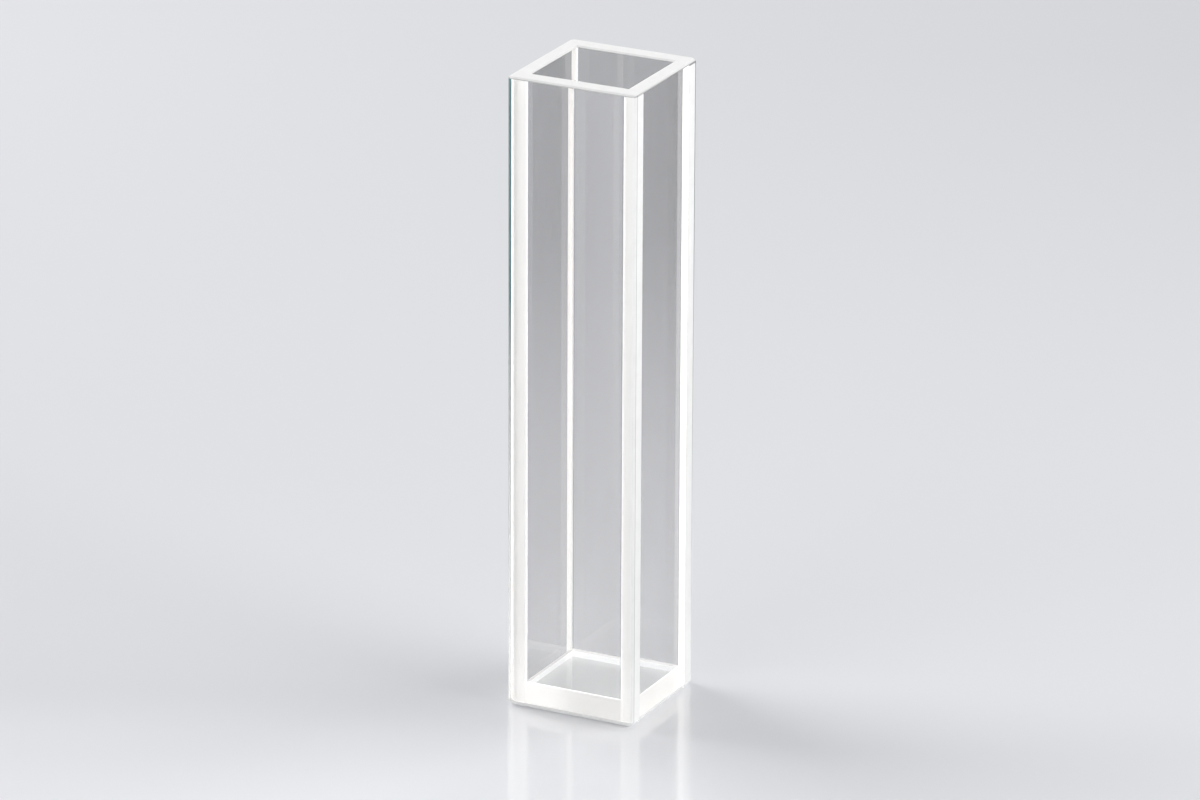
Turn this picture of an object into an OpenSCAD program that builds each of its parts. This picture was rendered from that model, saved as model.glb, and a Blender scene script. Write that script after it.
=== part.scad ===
// Square laboratory cell (cuvette), open at the top and standing on its base.
// Five glass plates fused into one piece: two windows the full width of the cell, front and back,
// two side plates between them, and a base plate let in between all four.
// Millimetres. Origin at the middle of the underside, +Z up, front window towards -Y.

/* [Outside] */
// Width across the outer faces of the side plates (X)
cell_w = 12.5; // [9:0.5:30]
// Depth across the outer faces of the two windows (Y)
cell_d = 12.5; // [9:0.5:30]
// Height from the underside to the rim
cell_h = 59; // [20:1:120]

/* [Plates] */
// Thickness of the front and back windows
window_t = 1.75; // [1:0.05:3]
// Thickness of the two side plates
side_t = 1.5; // [1:0.05:3]
// Thickness of the base plate
base_t = 2; // [1:0.1:5]

/* [Ground edges] */
// Radius of the four upright outer edges
upright_r = 0.6; // [0.2:0.05:0.9]
// Radius of the outer edge all round the foot
foot_r = 0.5; // [0.2:0.05:0.9]
// Chamfer on the outside of the rim
rim_chamfer = 0.2; // [0.05:0.05:0.4]
// Chamfer on the inside of the rim, round the mouth
mouth_chamfer = 0.15; // [0.05:0.05:0.4]

/* [Fused joints] */
// Radius of the fillet left by the fused joint in each upright corner of the well
corner_fillet_r = 0.15; // [0.1:0.05:1]
// Radius of the fillet left by the fused joint all round the well's floor
floor_fillet_r = 0.15; // [0.1:0.05:1]

/* [Hidden] */
$fn = 96;
well_w = cell_w - 2 * side_t;
well_d = cell_d - 2 * window_t;
well_h = cell_h - base_t;
overrun = 1; // how far a cutting form runs past the face that it opens

// Rectangle w by h, centred on X and standing on the X axis, with its two lower corners rounded.
module round_footed_rectangle(w, h, r) {
  translate([-w / 2, r]) square([w, h - r]);
  translate([-w / 2 + r, 0]) square([w - 2 * r, h]);
  for (side = [-1, 1]) translate([side * (w / 2 - r), r]) circle(r);
}

// Rectangle w by d, centred, with four rounded corners.
module round_cornered_rectangle(w, d, r) {
  square([w, d - 2 * r], center = true);
  square([w - 2 * r, d], center = true);
  for (x = [-1, 1], y = [-1, 1]) translate([x * (w / 2 - r), y * (d / 2 - r)]) circle(r);
}

// Side outline of the cell over one pair of faces: rounded at the foot, chamfered at the rim.
module cell_outline(w) {
  intersection() {
    round_footed_rectangle(w, cell_h, foot_r);
    polygon([
      [-w / 2, 0], [w / 2, 0],
      [w / 2, cell_h - rim_chamfer], [w / 2 - rim_chamfer, cell_h],
      [-w / 2 + rim_chamfer, cell_h], [-w / 2, cell_h - rim_chamfer]
    ]);
  }
}

// Side outline of the well over one pair of walls: filleted at the floor, flared at the mouth,
// and carried on above the rim.
module well_outline(w) {
  round_footed_rectangle(w, well_h + overrun, floor_fillet_r);
  polygon([
    [-w / 2, well_h - mouth_chamfer], [w / 2, well_h - mouth_chamfer],
    [w / 2 + mouth_chamfer + overrun, well_h + overrun],
    [-w / 2 - mouth_chamfer - overrun, well_h + overrun]
  ]);
}

// Extrudes an outline drawn in X and Z through the depth d, centred on Y.
module along_y(d) { rotate([90, 0, 0]) linear_extrude(d, center = true) children(); }

// Extrudes an outline drawn in Y and Z through the width w, centred on X.
module along_x(w) { rotate([90, 0, 90]) linear_extrude(w, center = true) children(); }

// One upright outer corner: the outermost part of the side outline, turned about the corner's axis,
// so that the foot and the rim's chamfer run round the corner.
module corner_column() {
  rotate_extrude() intersection() {
    square([upright_r, cell_h]);
    translate([upright_r - cell_w / 2, 0]) cell_outline(cell_w);
  }
}

// The solid block that the five plates make together.
module outer_block() {
  intersection() {
    linear_extrude(cell_h) {
      square([cell_w, cell_d - 2 * upright_r], center = true);
      square([cell_w - 2 * upright_r, cell_d], center = true);
    }
    along_y(cell_d) cell_outline(cell_w);
    along_x(cell_w) cell_outline(cell_d);
  }
  for (x = [-1, 1], y = [-1, 1])
    translate([x * (cell_w / 2 - upright_r), y * (cell_d / 2 - upright_r), 0]) corner_column();
}

// The space between the plates, which holds the sample.
module well() {
  mouth_reach = 2 * (mouth_chamfer + overrun);
  translate([0, 0, base_t]) {
    intersection() {
      linear_extrude(well_h + overrun) round_cornered_rectangle(well_w, well_d, corner_fillet_r);
      along_y(well_d) round_footed_rectangle(well_w, well_h + overrun, floor_fillet_r);
      along_x(well_w) round_footed_rectangle(well_d, well_h + overrun, floor_fillet_r);
    }
    // flare of the mouth
    intersection() {
      translate([0, 0, well_h - mouth_chamfer]) linear_extrude(mouth_chamfer + overrun)
        square([well_w + mouth_reach, well_d + mouth_reach], center = true);
      along_y(well_d + mouth_reach) well_outline(well_w);
      along_x(well_w + mouth_reach) well_outline(well_d);
    }
  }
}

// The whole cell.
module cuvette() {
  color([0.86, 0.9, 0.92, 0.4]) difference() {
    outer_block();
    well();
  }
}

cuvette();
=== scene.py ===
"""The looks of a square glass cell (cuvette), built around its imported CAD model.

The cell is five glass plates fused into one: two windows the full width and height of the cell, front
and back, two side plates between them, and a base plate let in between all four. The plates' large
faces are polished and clear. Their edges were ground before they were fused, so each joint is a thin
milky sheet inside the glass, and the edges that still show are satin white.
"""

import math

import bmesh
import bpy
from mathutils import Matrix, Vector


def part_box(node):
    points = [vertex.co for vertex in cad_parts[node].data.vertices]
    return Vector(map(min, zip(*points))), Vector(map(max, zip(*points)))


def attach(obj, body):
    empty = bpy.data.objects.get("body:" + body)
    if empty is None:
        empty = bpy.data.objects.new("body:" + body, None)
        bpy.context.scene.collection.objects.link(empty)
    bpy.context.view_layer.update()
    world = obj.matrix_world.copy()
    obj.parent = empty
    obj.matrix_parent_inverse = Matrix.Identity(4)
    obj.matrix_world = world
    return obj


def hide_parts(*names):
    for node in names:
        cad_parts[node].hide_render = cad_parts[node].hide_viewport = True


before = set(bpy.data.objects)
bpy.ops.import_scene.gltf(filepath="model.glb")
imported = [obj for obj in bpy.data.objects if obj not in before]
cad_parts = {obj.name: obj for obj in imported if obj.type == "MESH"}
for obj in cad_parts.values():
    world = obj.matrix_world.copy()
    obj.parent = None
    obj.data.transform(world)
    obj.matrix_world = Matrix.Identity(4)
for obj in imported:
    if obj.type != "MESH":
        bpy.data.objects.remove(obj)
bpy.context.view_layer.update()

MM = 0.001
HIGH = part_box("cuvette")[1]
HALF_W, HALF_D, TOP = HIGH.x, HIGH.y, HIGH.z

# Plates and edges, as in the CAD model
WINDOW_T = 1.75 * MM
SIDE_T = 1.5 * MM
BASE_T = 2.0 * MM
EDGE_R = 0.6 * MM
RIM_CHAMFER = 0.2 * MM
WELL_W = HALF_W - SIDE_T
WELL_D = HALF_D - WINDOW_T
CHAMFER_FOOT = TOP - RIM_CHAMFER

# The CAD mesh: points within WELD_GAP become one, those within CUT_GAP of a cut lie on it, and edges
# sharper than SHARP aren't smoothed
WELD_GAP = 0.001 * MM
CUT_GAP = 0.0001 * MM
SHARP = math.radians(30)

# Milky sheets at the joints. END_W is the width of the bright line along each side of an upright one,
# painted bright by a stronger glow.
SHEET_T = 0.04 * MM
SHEET_INSET = 0.06 * MM
LAP = 0.05 * MM
END_W = 0.13 * MM
GAP = 0.01 * MM

# How strongly each kind of joint, and the fillets in the well, glow: painted light, in place of the light
# that the glass guides
UPRIGHT_GLOW = 0.22
INNER_GLOW = 0.44
BASE_END_GLOW = 0.29
BASE_SIDE_GLOW = 0.17
BEAD_GLOW = 0.5

# Painted light and shade: what a joint's white is multiplied by at the very foot, left and right of the
# cell's middle
PLAIN_FOOT = (1.0, 1.0)
UPRIGHT_FOOT = (1.14, 1.14)
BASE_END_FOOT = (1.14, 0.85)

# Glass, and how grey a wall is where no glass is in front of it: painted shade
GLASS_IOR = 1.46
WINDOW_DIRECT_SHADE = 0.37
SIDE_DIRECT_SHADE = 0.34

# Finishes of the cell's faces, in the order of its material slots
POLISHED, GROUND, WINDOW_IN, SIDE_IN, FLOOR_IN, EDGE, BEAD, BEAD_RIM = range(8)

# Camera
AZIMUTH = math.radians(26.68)
ELEVATION = math.radians(19.92)
ROLL = math.radians(0.25)
DISTANCE = 717 * MM
LENS = 242.5
SENSOR = 36.0
AIM_HEIGHT = 28.03 * MM
AIM_SIDE = -0.091 * MM
CLIP_NEAR = 0.01
CLIP_FAR = 50

# Floor, surroundings and lamps
FLOOR = (0.862, 0.868, 0.893)
FLOOR_SIZE = 6
FLOOR_DROP = 0.02 * MM
BACKDROP = (0.548, 0.558, 0.584)
WORLD_LOW = 0.5
WORLD_HIGH = 0.12
LAMP_AIM = Vector((0, 0, 30 * MM))

# Keeps a division from being by zero
TINY = 1e-9

# How often light may turn on its way to the eye. Inside the glass it meets many faces.
DIFFUSE_BOUNCES = 12
GLASS_BOUNCES = 32


def add_camera():
    """Looks at the cell from the front right and above, as a long lens does."""
    right = Vector((math.cos(AZIMUTH), math.sin(AZIMUTH), 0))
    back = Vector((
        math.sin(AZIMUTH) * math.cos(ELEVATION),
        -math.cos(AZIMUTH) * math.cos(ELEVATION),
        math.sin(ELEVATION),
    ))
    up = back.cross(right)
    axes = Matrix((right, up, back)).transposed().to_4x4()
    data = bpy.data.cameras.new("camera")
    data.lens = LENS
    data.sensor_width = SENSOR
    data.clip_start = CLIP_NEAR
    data.clip_end = CLIP_FAR
    camera = bpy.data.objects.new("camera", data)
    aim = Vector((0, 0, AIM_HEIGHT)) + right * AIM_SIDE
    camera.matrix_world = Matrix.Translation(aim + back * DISTANCE) @ axes @ Matrix.Rotation(ROLL, 4, "Z")
    bpy.context.scene.collection.objects.link(camera)
    bpy.context.scene.camera = camera


class Nodes:
    """A short way to write a node tree."""

    def __init__(self, tree):
        self.tree = tree
        self.tree.nodes.clear()

    def feed(self, socket, value):
        if isinstance(value, bpy.types.NodeSocket):
            self.tree.links.new(value, socket)
        else:
            socket.default_value = value

    def add(self, kind, inputs=None, **settings):
        node = self.tree.nodes.new(kind)
        for key, value in settings.items():
            setattr(node, key, value)
        for key, value in (inputs or {}).items():
            self.feed(node.inputs[key], value)
        return node

    def math(self, operation, a, b=0.0):
        return self.add("ShaderNodeMath", {0: a, 1: b}, operation=operation).outputs[0]

    def total(self, first, *others):
        for other in others:
            first = self.math("ADD", first, other)
        return first

    def product(self, first, *others):
        for other in others:
            first = self.math("MULTIPLY", first, other)
        return first

    def one_minus(self, value):
        return self.math("SUBTRACT", 1, value)

    def where(self, mask, value):
        """value where mask is 1, and 1 where mask is 0."""
        return self.one_minus(self.product(mask, self.one_minus(value)))

    def step(self, value, low, high, to_low=0.0, to_high=1.0, kind="SMOOTHSTEP"):
        """to_low below low, to_high above high, and smooth between."""
        inputs = {"Value": value, "From Min": low, "From Max": high, "To Min": to_low, "To Max": to_high}
        return self.add("ShaderNodeMapRange", inputs, interpolation_type=kind).outputs[0]

    def slope(self, value, low, high, to_low=0.0, to_high=1.0):
        """to_low below low, to_high above high, and straight between."""
        return self.step(value, low, high, to_low, to_high, kind="LINEAR")

    def line(self, value, at, width, depth):
        """1, but 1 - depth where value is within half a width of at."""
        away = self.math("ABSOLUTE", self.math("SUBTRACT", value, at))
        return self.step(away, 0.5 * width, 0.8 * width, 1.0 - depth, 1.0)

    def noise(self, scale, detail=2.0, stretch=(1, 1, 1)):
        """Smooth noise from 0 to 1, in the object's own coordinates. scale is per metre."""
        place = self.add("ShaderNodeTexCoord").outputs["Object"]
        place = self.add("ShaderNodeMapping", {"Vector": place, "Scale": stretch}).outputs[0]
        inputs = {"Vector": place, "Scale": scale, "Detail": detail}
        return self.add("ShaderNodeTexNoise", inputs).outputs[0]

    def split(self, vector):
        """The x, y and z of a vector."""
        return self.add("ShaderNodeSeparateXYZ", {0: vector}).outputs

    def place(self):
        """The x, y and z of the point in the object's own coordinates."""
        return self.split(self.add("ShaderNodeTexCoord").outputs["Object"])

    def world_place(self):
        """The x, y and z of the point in the world or, in the world's own nodes, of the ray's direction."""
        return self.split(self.add("ShaderNodeNewGeometry").outputs["Position"])

    def steepness(self):
        """The upward part of the surface's normal."""
        return self.split(self.add("ShaderNodeNewGeometry").outputs["Normal"])[2]

    def turned_away(self):
        """0 where the surface faces the ray, up to 1 where the ray grazes it."""
        return self.add("ShaderNodeLayerWeight", {"Blend": 0.5}).outputs["Facing"]

    def direct(self):
        """1 where nothing lies between the surface and the eye, not even glass."""
        return self.add("ShaderNodeLightPath").outputs["Is Camera Ray"]

    def seen(self):
        """1 where the eye sees the surface, directly or in glass, and 0 where it only lights others."""
        return self.math("LESS_THAN", self.add("ShaderNodeLightPath").outputs["Diffuse Depth"], 0.5)

    def blend(self, factor, a, b):
        return self.add("ShaderNodeMix", {0: factor, 6: a, 7: b}, data_type="RGBA").outputs[2]

    def shade(self, colour, factor):
        """colour times a number."""
        inputs = {0: 1.0, 6: colour, 7: factor}
        return self.add("ShaderNodeMix", inputs, data_type="RGBA", blend_type="MULTIPLY").outputs[2]

    def bump(self, height, strength, distance):
        inputs = {"Height": height, "Strength": strength, "Distance": distance}
        return self.add("ShaderNodeBump", inputs).outputs[0]

    def out(self, shader, kind="ShaderNodeOutputMaterial"):
        self.add(kind, {"Surface": shader.outputs[0]})


def new_material(name):
    material = bpy.data.materials.new(name)
    material.use_nodes = True
    return material, Nodes(material.node_tree)


def clear_glass(name, colour_of):
    """Polished glass. colour_of gives its colour from the node tree: a tint, and in some materials painted
    shade.
    """
    material, n = new_material(name)
    n.out(n.add("ShaderNodeBsdfPrincipled", {
        "Base Color": colour_of(n),
        "Roughness": 0.0,
        "IOR": GLASS_IOR,
        "Transmission Weight": 1.0,
    }))
    return material


def outer_tint(n):
    """The polished outside is clear, with upright streaks that hardly show."""
    streaks = n.noise(300, 3, (1, 1, 0.08))
    return n.blend(streaks, (1, 1, 1, 1), (0.985, 0.985, 0.985, 1))


def wall_grey_and_shade(n, tone, direct_shade):
    """The inner face of a wall is light grey, times tone, with faint upright streaks. tone carries painted
    shade.

    Where it is seen through the mouth, with no glass in front, it is painted the darker grey of the last
    argument: painted shade.
    """
    streaks = n.step(n.noise(220, 3, (1, 1, 0.06)), 0.35, 0.65)
    tint = n.blend(streaks, (0.785, 0.78, 0.785, 1), (0.82, 0.815, 0.82, 1))
    return n.blend(n.direct(), n.shade(tint, tone), (direct_shade, direct_shade, direct_shade, 1))


def window_grey_and_shade(n):
    """Painted shade: a window is painted darkest about a third of the way up."""
    z = n.place()[2]
    upwards = n.slope(z, 0, TOP, 0.91, 1.04)
    above_foot = n.step(z, 0, 20 * MM, 1.0, 0.92)
    return wall_grey_and_shade(n, n.product(above_foot, upwards), WINDOW_DIRECT_SHADE)


def side_grey_and_shade(n):
    """Painted shade: a side plate is painted darker towards the rim and the back, but not within 1 mm of
    the front window, and a little darker low down.
    """
    _, y, z = n.place()
    dark = n.total(n.step(z, 20 * MM, 0.9 * TOP, 0.0, 0.2), n.step(y, 1 * MM, 3 * MM, 0.0, 0.12))
    near_front = n.step(y, 1.0 * MM - WELL_D, 1.2 * MM - WELL_D, 1.0, 0.0)
    upwards = n.slope(z, 0, 0.7 * TOP, 0.9, 1.0)
    tone = n.one_minus(n.product(dark, n.one_minus(near_front)))
    return wall_grey_and_shade(n, n.product(tone, upwards), SIDE_DIRECT_SHADE)


def base_tint(n):
    """The upper face of the base is faintly blue and clouded."""
    clouds = n.step(n.noise(250, 3), 0.35, 0.65, 0.96, 1.0)
    return n.shade((0.91, 0.95, 0.99, 1), clouds)


def bead_rim_painted_shade(n):
    """Painted shade: the part of each upright fillet that runs out on a window is painted as a thin dark
    line.
    """
    return n.blend(n.noise(400), (0.4, 0.43, 0.45, 1), (0.5, 0.52, 0.53, 1))


def edge_painted_shade(n):
    """Painted shade: rounded edges are painted with a dark teal line where they turn away from the eye,
    paler towards the foot.
    """
    pale, teal = (0.9, 0.93, 0.93, 1), (0.02, 0.06, 0.07, 1)
    line = n.blend(n.slope(n.place()[2], 0.05 * TOP, 0.65 * TOP), pale, teal)
    return n.blend(n.step(n.turned_away(), 0.19, 0.27), (0.97, 0.985, 0.99, 1), line)


def ground_grain_and_painted_light(n, z, on_side):
    """How white ground glass is: fine random grain, and painted light and shade, least white low down, on
    the sides above the foot and on the rim's chamfer, most on the underside and on the rim's flat.
    """
    grain = n.step(n.noise(900, 4), 0.3, 0.7, 0.97, 1.0)
    sides = n.math("SUBTRACT", 1.02, n.product(on_side, n.step(z, 3 * MM, 8 * MM, 0.0, 0.05)))
    underside = n.step(z, 0.02 * MM, 0.05 * MM, 1.16, 1.0)
    upwards = n.slope(z, 0.3 * TOP, TOP, 0.9, 1.0)
    chamfer = n.step(z, CHAMFER_FOOT - 0.02 * MM, CHAMFER_FOOT, 1.0, 0.93)
    flat = n.step(z, TOP - 0.03 * MM, TOP - 0.01 * MM, 1.0, 1.11)
    return n.product(grain, sides, underside, upwards, chamfer, flat)


def ground_shade_lines(n, y, z, on_side):
    """Painted shade: thin grey lines under the rim's chamfer, and along the front edge's rounding on the
    sides.
    """
    rim = n.line(z, CHAMFER_FOOT, 0.1 * MM, 0.35)
    back_end = n.product(on_side, n.step(y, 0, 1 * MM))
    back_rim = n.where(back_end, n.line(z, CHAMFER_FOOT - 0.04 * MM, 0.1 * MM, 0.5))
    rounding_line = n.where(on_side, n.line(y, EDGE_R - HALF_D, 0.08 * MM, 0.35))
    return n.product(rim, back_rim, rounding_line)


def ground_edge_shade(n, z):
    """Painted shade: upright ground faces are painted darker where they turn away from the eye, more so
    towards the rim.
    """
    upright = n.step(n.math("ABSOLUTE", n.steepness()), 0.05, 0.2, 1.0, 0.0)
    dark = n.product(n.step(n.turned_away(), 0.6, 0.66), n.slope(z, 0, 0.8 * TOP, 0.0, 0.85))
    return n.one_minus(n.product(dark, upright))


def ground_glass():
    """Satin white, with fine grain, and with painted light and shade."""
    material, n = new_material("ground_glass")
    x, y, z = n.place()
    on_side = n.step(n.math("ABSOLUTE", x), HALF_W - 0.1 * MM, HALF_W - 0.05 * MM)
    tone = n.product(ground_grain_and_painted_light(n, z, on_side), ground_shade_lines(n, y, z, on_side), ground_edge_shade(n, z))
    n.out(n.add("ShaderNodeBsdfPrincipled", {
        "Base Color": n.shade((0.93, 0.93, 0.925, 1), tone),
        "Roughness": 0.6,
        "Normal": n.bump(n.noise(16000, 2), 0.3, 0.01 * MM),
    }))
    return material


def joint_white(name, glow, foot_ends=PLAIN_FOOT):
    """A milky joint, faintly clouded and painted a little darker low down: painted shade. glow is painted
    light, which it gives of its own in place of the light that the glass guides.

    foot_ends multiply its white at the very foot, left and right of the cell's middle: painted light and
    shade.
    """
    material, n = new_material(name)
    x, _, z = n.place()
    clouds = n.step(n.noise(700, 4), 0.3, 0.7, 0.965, 1.0)
    upwards = n.slope(z, 0.3 * TOP, 0.95 * TOP, 0.9, 1.0)
    foot = n.step(z, BASE_T, 3 * BASE_T, n.step(x, -0.5 * HALF_W, 0.15 * HALF_W, *foot_ends), 1.0)
    n.out(n.add("ShaderNodeBsdfPrincipled", {
        "Base Color": n.shade((0.97, 0.965, 0.958, 1), n.product(clouds, upwards, foot)),
        "Roughness": 0.8,
        "Specular IOR Level": 0.0,
        # Painted light: the joint shines of its own
        "Emission Color": (1.0, 0.99, 0.98, 1),
        "Emission Strength": glow,
    }))
    return material


def finish_of(centre, normal):
    """Which finish a face of the cell has, from where it lies and which way it looks."""
    x, y, z = abs(centre.x), abs(centre.y), centre.z
    nx, ny = abs(normal.x), abs(normal.y)
    slack = 0.1 * MM
    level, turned = 0.05, 0.02
    rounds_a_corner = abs(normal.z) < level and min(nx, ny) > turned
    if z > CHAMFER_FOOT:
        return GROUND
    if x < WELL_W + slack and y < WELL_D + slack and z > 0.5 * BASE_T:
        if rounds_a_corner:
            return BEAD if nx > ny else BEAD_RIM
        if turned < normal.z < 1 - turned:
            return BEAD
        if normal.z > 0.5:
            return FLOOR_IN
        return SIDE_IN if nx > ny else WINDOW_IN
    faces_down = normal.z < -level
    ends_a_window = nx > ny and y > WELL_D
    if faces_down or ends_a_window:
        return GROUND
    return EDGE if rounds_a_corner else POLISHED


def new_piece(name, bm, materials):
    """A piece of glass that rides on root, with the mesh that bm holds."""
    mesh = bpy.data.meshes.new(name)
    bm.to_mesh(mesh)
    bm.free()
    for material in materials:
        mesh.materials.append(material)
    piece = bpy.data.objects.new(name, mesh)
    bpy.context.scene.collection.objects.link(piece)
    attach(piece, "root")
    return piece


def add_cell():
    """The CAD model's own surface, cut along the windows' inner faces so that each finish ends there."""
    bm = bmesh.new()
    bm.from_mesh(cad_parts["cuvette"].data)
    bmesh.ops.remove_doubles(bm, verts=bm.verts, dist=WELD_GAP)
    for side in (-1, 1):
        everything = bm.verts[:] + bm.edges[:] + bm.faces[:]
        cut = (0, side * WELL_D, 0)
        bmesh.ops.bisect_plane(bm, geom=everything, dist=CUT_GAP, plane_co=cut, plane_no=(0, 1, 0))
    for face in bm.faces:
        face.smooth = True
        face.material_index = finish_of(face.calc_center_median(), face.normal)
    bm.normal_update()
    for edge in bm.edges:
        edge.smooth = edge.calc_face_angle() < SHARP
    piece = new_piece("cell", bm, [
        clear_glass("polished_glass", outer_tint),
        ground_glass(),
        clear_glass("window_inner_glass", window_grey_and_shade),
        clear_glass("side_inner_glass", side_grey_and_shade),
        clear_glass("base_inner_glass", base_tint),
        clear_glass("edge_glass", edge_painted_shade),
        joint_white("fused_bead", BEAD_GLOW),
        clear_glass("bead_rim_glass", bead_rim_painted_shade),
    ])
    piece.modifiers.new("normals", "WEIGHTED_NORMAL").keep_sharp = True
    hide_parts("cuvette")


def add_block(bm, low, high, bright_side):
    """A thin closed block, whose face towards bright_side gets the second material, painted brighter by a
    stronger glow.

    If bright_side is None, all of its faces get it. Other faces get the first.
    """
    outline = ((low[0], low[1]), (high[0], low[1]), (high[0], high[1]), (low[0], high[1]))
    corners = [bm.verts.new((x, y, z)) for z in (low[2], high[2]) for x, y in outline]
    for loop in ((3, 2, 1, 0), (4, 5, 6, 7), (0, 1, 5, 4), (1, 2, 6, 5), (2, 3, 7, 6), (3, 0, 4, 7)):
        face = bm.faces.new([corners[i] for i in loop])
        face.normal_update()
        bright = bright_side is None or face.normal.dot(Vector(bright_side)) > 0.5
        face.material_index = 1 if bright else 0


def add_joint(name, blocks, materials):
    """A joint, made of one block or more. Each is its low corner, high corner and bright side."""
    bm = bmesh.new()
    for low, high, bright_side in blocks:
        add_block(bm, low, high, bright_side)
    new_piece(name, bm, materials)


def upright_blocks(across, along):
    """The joint of a side plate with a window: a sheet, and a bright line along each side of it, painted
    bright by a stronger glow.

    The line in the well's corner is in two parts, because only the part above the base is bright all round.
    """
    y = along * WELL_D
    half = 0.5 * SHEET_T
    inner, outer = WELL_W - LAP, HALF_W - SHEET_INSET
    inwards = (0, -along, 0)
    blocks = []
    for start, stop, bottom, top, bright_side in (
        (inner, inner + END_W, SHEET_INSET, BASE_T - GAP, inwards),
        (inner, inner + END_W, BASE_T, CHAMFER_FOOT, None),
        (inner + END_W + GAP, outer - END_W - GAP, SHEET_INSET, CHAMFER_FOOT, inwards),
        (outer - END_W, outer, SHEET_INSET, CHAMFER_FOOT, None),
    ):
        near, far = sorted((across * start, across * stop))
        blocks.append(((near, y - half, bottom), (far, y + half, top), bright_side))
    return blocks


def add_joints():
    """The milky joints: four upright ones at the corners, and four around the base."""
    sides = ((-1, "left"), (1, "right"))
    ends = ((-1, "front"), (1, "back"))
    # Painted light: the joints glow of their own, the faces towards the well and the lines along the
    # upright joints most
    inner_joint = joint_white("fused_joint_inner", INNER_GLOW)
    upright_materials = [joint_white("fused_joint", UPRIGHT_GLOW, UPRIGHT_FOOT), inner_joint]
    end_materials = [joint_white("fused_joint_base", BASE_END_GLOW, BASE_END_FOOT), inner_joint]
    side_materials = [joint_white("fused_joint_side", BASE_SIDE_GLOW), inner_joint]
    for across, side in sides:
        for along, end in ends:
            add_joint(f"joint_{end}_{side}", upright_blocks(across, along), upright_materials)
    half = 0.5 * SHEET_T
    top = BASE_T + LAP
    x, y = WELL_W - LAP - GAP, WELL_D
    for along, end in ends:
        low, high = (-x, along * y - half, SHEET_INSET), (x, along * y + half, top)
        add_joint(f"joint_base_{end}", [(low, high, (0, -along, 0))], end_materials)
    x, y = WELL_W, WELL_D - half - GAP
    for across, side in sides:
        low, high = (across * x - half, -y, SHEET_INSET), (across * x + half, y, top)
        add_joint(f"joint_base_{side}", [(low, high, (-across, 0, 0))], side_materials)


def floor_painted_light(n, x, y):
    """Painted light: the floor is painted lighter in front of the cell, and far behind it lighter on the
    left and darker on the right.
    """
    across = n.total(n.product(x, math.cos(AZIMUTH)), n.product(y, math.sin(AZIMUTH)))
    behind = n.math("SUBTRACT", n.product(y, math.cos(AZIMUTH)), n.product(x, math.sin(AZIMUTH)))
    front = n.step(behind, -24 * MM, -10 * MM, 0.05, 0.0)
    left_side = n.step(across, -25 * MM, 0, 1.0, 0.0)
    front_left = n.product(n.step(behind, -12 * MM, 2 * MM, 0.1, 0.0), left_side)
    far = n.slope(behind, 60 * MM, 190 * MM)
    left_to_right = n.slope(across, -70 * MM, 70 * MM, 0.09, -0.14)
    return n.total(1, n.total(front, front_left), n.product(far, left_to_right))


def painted_dark_sectors(n, x, y):
    """How dark the floor is painted, from 0 to 1, as the glass shows it: painted shade.

    It darkens with distance at the cell's right back and left front, as if the room were dark there. The
    walls mirror that dark, which makes them greyer towards the rim.
    """
    distance_squared = n.total(n.product(x, x), n.product(y, y))
    distance = n.math("SQRT", distance_squared)
    diagonal = n.math("DIVIDE", n.product(x, y, 2), n.total(distance_squared, TINY))
    dark = n.product(n.step(diagonal, 0.1, 0.6), n.slope(distance, 10 * MM, 130 * MM))
    return n.product(dark, n.one_minus(n.direct()), n.seen())


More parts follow.
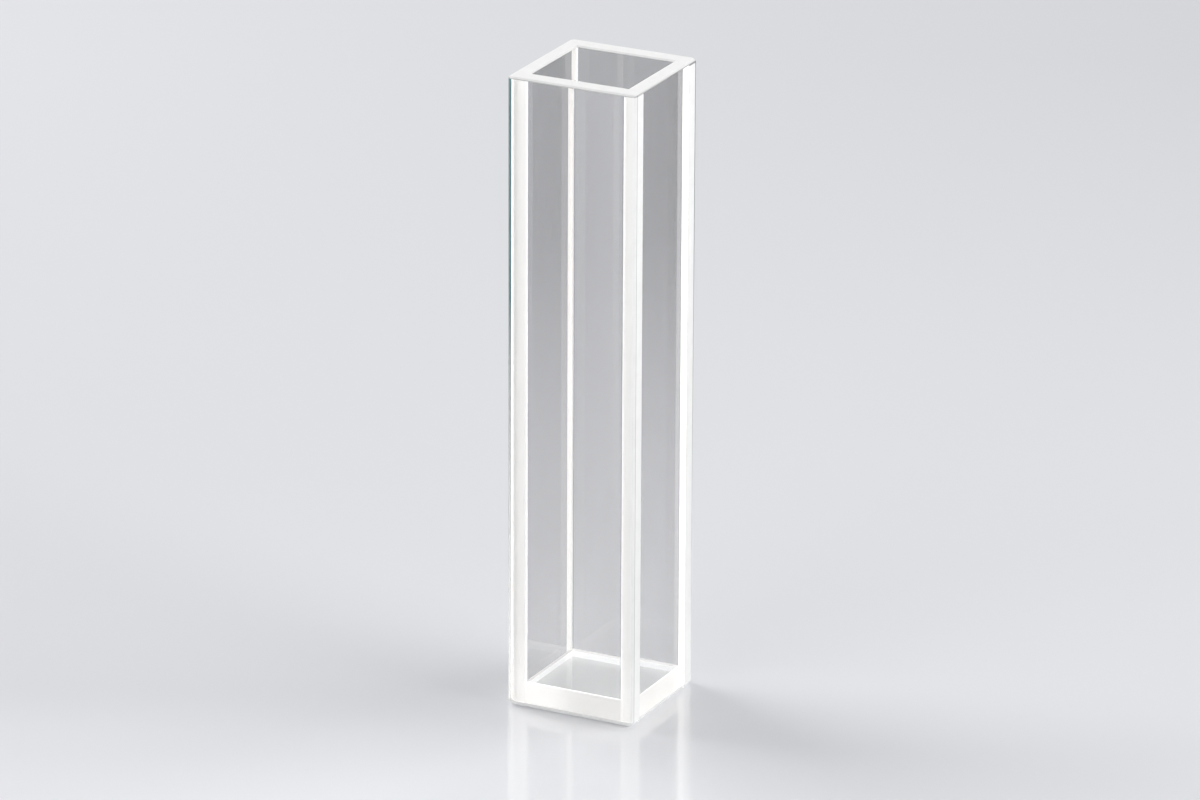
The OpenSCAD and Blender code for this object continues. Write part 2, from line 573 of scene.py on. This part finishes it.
def add_floor():
    """A pale floor, with enough gloss to mirror the cell faintly. Its tone, and the black that the glass
    sees on it, are painted light and shade.
    """
    bpy.ops.mesh.primitive_plane_add(size=FLOOR_SIZE, location=(0, 0, -FLOOR_DROP))
    floor = bpy.context.object
    floor.name = "floor"
    material, n = new_material("floor")
    x, y, _ = n.world_place()
    pale = n.add("ShaderNodeBsdfPrincipled", {
        "Base Color": n.shade((*FLOOR, 1), floor_painted_light(n, x, y)),
        "Roughness": 0.3,
        "Specular IOR Level": 1.0,
        "Coat Weight": 1.0,
        "Coat Roughness": 0.1,
        "Coat IOR": 1.7,
    })
    # Painted shade: the black that the glass sees on the floor, in the dark sectors
    black = n.add("ShaderNodeBsdfDiffuse", {"Color": (0, 0, 0, 1)})
    n.out(n.add("ShaderNodeMixShader", {0: painted_dark_sectors(n, x, y), 1: pale.outputs[0], 2: black.outputs[0]}))
    floor.data.materials.append(material)


def add_world():
    """An even grey to the eye. Onto the scene it shines more from low down than from above."""
    world = bpy.data.worlds.new("world")
    bpy.context.scene.world = world
    world.use_nodes = True
    n = Nodes(world.node_tree)
    glow = n.step(n.world_place()[2], 0.3, 0.7, WORLD_LOW, WORLD_HIGH)
    lit = n.add("ShaderNodeBackground", {"Color": (1, 1, 1, 1), "Strength": glow})
    shown = n.add("ShaderNodeBackground", {"Color": (*BACKDROP, 1)})
    mix = n.add("ShaderNodeMixShader", {0: n.seen(), 1: lit.outputs[0], 2: shown.outputs[0]})
    n.out(mix, "ShaderNodeOutputWorld")


def add_lamp(name, place, size, power, through_glass):
    """A flat lamp that faces the cell. If it doesn't shine through glass, the cell's shadow is full."""
    data = bpy.data.lights.new(name, "AREA")
    data.shape = "RECTANGLE"
    data.size, data.size_y = size
    data.energy = power
    light = bpy.data.objects.new(name, data)
    light.location = place
    light.rotation_euler = (Vector(place) - LAMP_AIM).to_track_quat("Z", "Y").to_euler()
    light.visible_transmission = through_glass
    bpy.context.scene.collection.objects.link(light)


def add_lamps():
    """Soft lamps on the right, at the back left and in front. Lengths are in metres, power in watts."""
    add_lamp("panel_right", (0.774, 0.323, 0.545), (1.3, 0.5), 8.0, through_glass=False)
    add_lamp("panel_back", (-1.107, 0.182, 0.876), (0.9, 0.9), 11.7, through_glass=False)
    add_lamp("panel_front", (-0.23, -0.88, 0.42), (0.6, 0.6), 2.4, through_glass=True)


add_cell()
add_joints()
add_floor()
add_world()
add_lamps()
add_camera()
bpy.context.scene.view_settings.view_transform = "Standard"
cycles = bpy.context.scene.cycles
cycles.blur_glossy = 0.0
cycles.max_bounces = GLASS_BOUNCES
cycles.diffuse_bounces = DIFFUSE_BOUNCES
cycles.glossy_bounces = GLASS_BOUNCES
cycles.transmission_bounces = GLASS_BOUNCES
